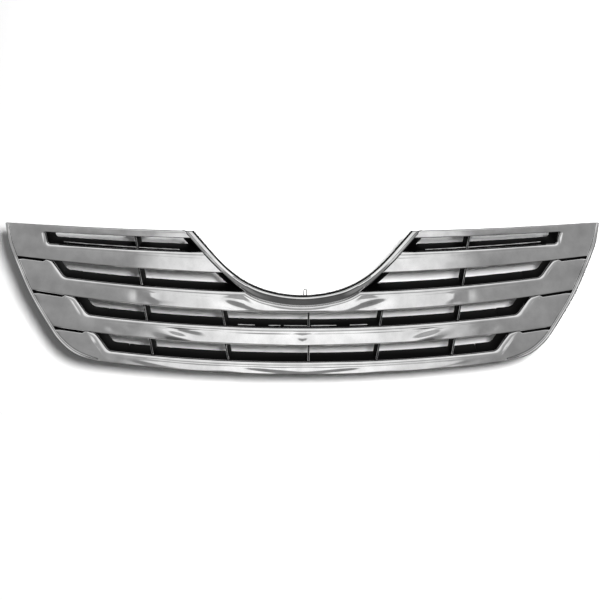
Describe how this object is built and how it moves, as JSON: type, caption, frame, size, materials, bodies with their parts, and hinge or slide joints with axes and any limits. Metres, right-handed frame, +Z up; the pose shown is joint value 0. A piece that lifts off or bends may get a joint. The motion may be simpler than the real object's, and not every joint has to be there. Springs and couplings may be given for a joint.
{
  "type": "car front grille",
  "caption": "Fixed front grille: chrome-plated bars and surround over a black louvred insert, swept back at the ends, with a round notch in the top edge.",
  "frame": {"origin": "on the centre plane, level with the top of the mounting tabs, midway between the two inner tab holes", "axes": "+X to the right seen from the front and along the longest extent, -Y out of the front of the grille, +Z up"},
  "size_m": [0.944, 0.1941, 0.2144],
  "materials": {
    "chrome_plating": "polished",
    "black_plastic": "satin",
    "seal_rubber": "matte",
    "pin_nylon": "satin",
    "zinc_steel": "satin"
  },
  "bodies": {
    "root": {"upper_moulding_left": "chrome_plating", "upper_moulding_right": "chrome_plating", "second_bar": "chrome_plating", "third_bar": "chrome_plating", "lower_bar": "chrome_plating", "side_rim_left": "chrome_plating", "side_rim_right": "chrome_plating", "notch_trim": "chrome_plating", "side_frame_left": "black_plastic", "side_frame_right": "black_plastic", "top_wall_left": "black_plastic", "top_wall_right": "black_plastic", "first_louvre_left": "black_plastic", "first_louvre_right": "black_plastic", "second_louvre": "black_plastic", "third_louvre": "black_plastic", "lower_louvre": "black_plastic", "notch_frame": "black_plastic", "outer_uprights_left": "black_plastic", "outer_uprights_right": "black_plastic", "inner_uprights_left": "black_plastic", "inner_uprights_right": "black_plastic", "centre_uprights": "black_plastic", "mounting_tab_outer_left": "black_plastic", "mounting_tab_outer_right": "black_plastic", "mounting_tab_inner_left": "black_plastic", "mounting_tab_inner_right": "black_plastic", "notch_seal": "seal_rubber", "locating_pin": "pin_nylon", "tab_spring_nuts": "zinc_steel", "insert_screws": "zinc_steel", "lower_snap_hooks": "black_plastic"}
  },
  "joints": []
}
